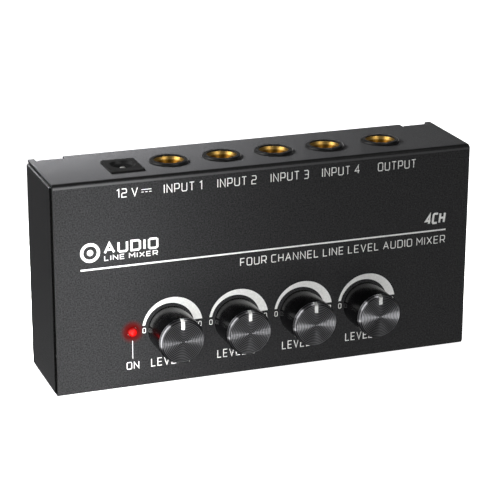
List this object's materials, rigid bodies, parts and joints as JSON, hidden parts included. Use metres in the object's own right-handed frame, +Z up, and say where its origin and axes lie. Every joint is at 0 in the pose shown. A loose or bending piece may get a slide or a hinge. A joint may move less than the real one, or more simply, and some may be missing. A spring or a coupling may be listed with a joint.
{
  "type": "mixing console",
  "caption": "Compact line mixer in a folded steel case: rotary level knobs and a status light on the front panel, quarter-inch jacks and a barrel power socket on top",
  "frame": {"origin": "bottom centre of the whole object's bounding box, knobs and rear feet included, on the face it stands on", "axes": "+Z up, through the wall that carries the jacks; -Y the way the knob panel faces; +X from the power socket towards the output jack"},
  "size_m": [0.135, 0.0454, 0.0671],
  "materials": {
    "powder_coat": "satin dark grey powder coat with a fine grain, on folded steel sheet",
    "plated_steel": "tin or nickel plated steel",
    "chip_ceramic": "black-glazed chip resistor",
    "board_laminate": "glass-fibre laminate with green solder mask",
    "black_screw": "black-finished steel",
    "power_jack_plastic": "dark grey moulded plastic",
    "plated_pin": "bright nickel plated pin",
    "can_aluminium": "bare aluminium can",
    "spring_bronze": "phosphor bronze spring",
    "jack_plastic": "black moulded plastic",
    "sleeve_brass": "gold-toned plated brass, turned inside",
    "knob_plastic": "glossy black moulded plastic",
    "spun_aluminium": "dark spun aluminium with fine concentric rings",
    "pointer_white": "white inlaid line",
    "red_lens": "clear red moulded lens, lit",
    "nylon": "white nylon",
    "chip_epoxy": "black moulding compound",
    "pot_plastic": "moulded black phenolic",
    "shaft_aluminium": "turned aluminium",
    "rubber": "moulded matt black rubber",
    "solder": "bright reflowed solder"
  },
  "bodies": {
    "case": {"back_cover": "powder_coat", "board_screws": "plated_steel", "board_standoffs": "plated_steel", "chip_resistors": "chip_ceramic", "circuit_board": "board_laminate", "clinch_nuts": "plated_steel", "cover_screws": "black_screw", "dc_jack_contacts": "plated_steel", "dc_jack_housing": "power_jack_plastic", "dc_jack_pin": "plated_pin", "electrolytic_capacitors": "can_aluminium", "front_shell": "powder_coat", "input_jack_1_contacts": "spring_bronze", "input_jack_1_housing": "jack_plastic", "input_jack_1_sleeve": "sleeve_brass", "input_jack_2_contacts": "spring_bronze", "input_jack_2_housing": "jack_plastic", "input_jack_2_sleeve": "sleeve_brass", "input_jack_3_contacts": "spring_bronze", "input_jack_3_housing": "jack_plastic", "input_jack_3_sleeve": "sleeve_brass", "input_jack_4_contacts": "spring_bronze", "input_jack_4_housing": "jack_plastic", "input_jack_4_sleeve": "sleeve_brass", "led_leads": "plated_steel", "led_lens": "red_lens", "led_spacer": "nylon", "op_amp_chips": "chip_epoxy", "output_jack_contacts": "spring_bronze", "output_jack_housing": "jack_plastic", "output_jack_sleeve": "sleeve_brass", "pot_1_base": "pot_plastic", "pot_1_bushing": "plated_steel", "pot_2_base": "pot_plastic", "pot_2_bushing": "plated_steel", "pot_3_base": "pot_plastic", "pot_3_bushing": "plated_steel", "pot_4_base": "pot_plastic", "pot_4_bushing": "plated_steel", "pot_terminals": "plated_steel", "rubber_feet": "rubber", "solder_joints": "solder", "voltage_regulator": "chip_epoxy"},
    "knob_1": {"pot_1_shaft": "shaft_aluminium", "knob_1_body": "knob_plastic", "knob_1_cap": "spun_aluminium", "knob_1_pointer": "pointer_white"},
    "knob_2": {"pot_2_shaft": "shaft_aluminium", "knob_2_body": "knob_plastic", "knob_2_cap": "spun_aluminium", "knob_2_pointer": "pointer_white"},
    "knob_3": {"pot_3_shaft": "shaft_aluminium", "knob_3_body": "knob_plastic", "knob_3_cap": "spun_aluminium", "knob_3_pointer": "pointer_white"},
    "knob_4": {"pot_4_shaft": "shaft_aluminium", "knob_4_body": "knob_plastic", "knob_4_cap": "spun_aluminium", "knob_4_pointer": "pointer_white"}
  },
  "joints": [
    {"name": "knob_1_turn", "type": "hinge", "parent": "case", "child": "knob_1", "pos_m": [-0.03168, -0.00947, 0.0181], "axis": [0, 1, 0], "range_deg": [-150, 150]},
    {"name": "knob_2_turn", "type": "hinge", "parent": "case", "child": "knob_2", "pos_m": [-0.01046, -0.00947, 0.0181], "axis": [0, 1, 0], "range_deg": [-150, 150]},
    {"name": "knob_3_turn", "type": "hinge", "parent": "case", "child": "knob_3", "pos_m": [0.01076, -0.00947, 0.0181], "axis": [0, 1, 0], "range_deg": [-150, 150]},
    {"name": "knob_4_turn", "type": "hinge", "parent": "case", "child": "knob_4", "pos_m": [0.03198, -0.00947, 0.0181], "axis": [0, 1, 0], "range_deg": [-150, 150]}
  ]
}
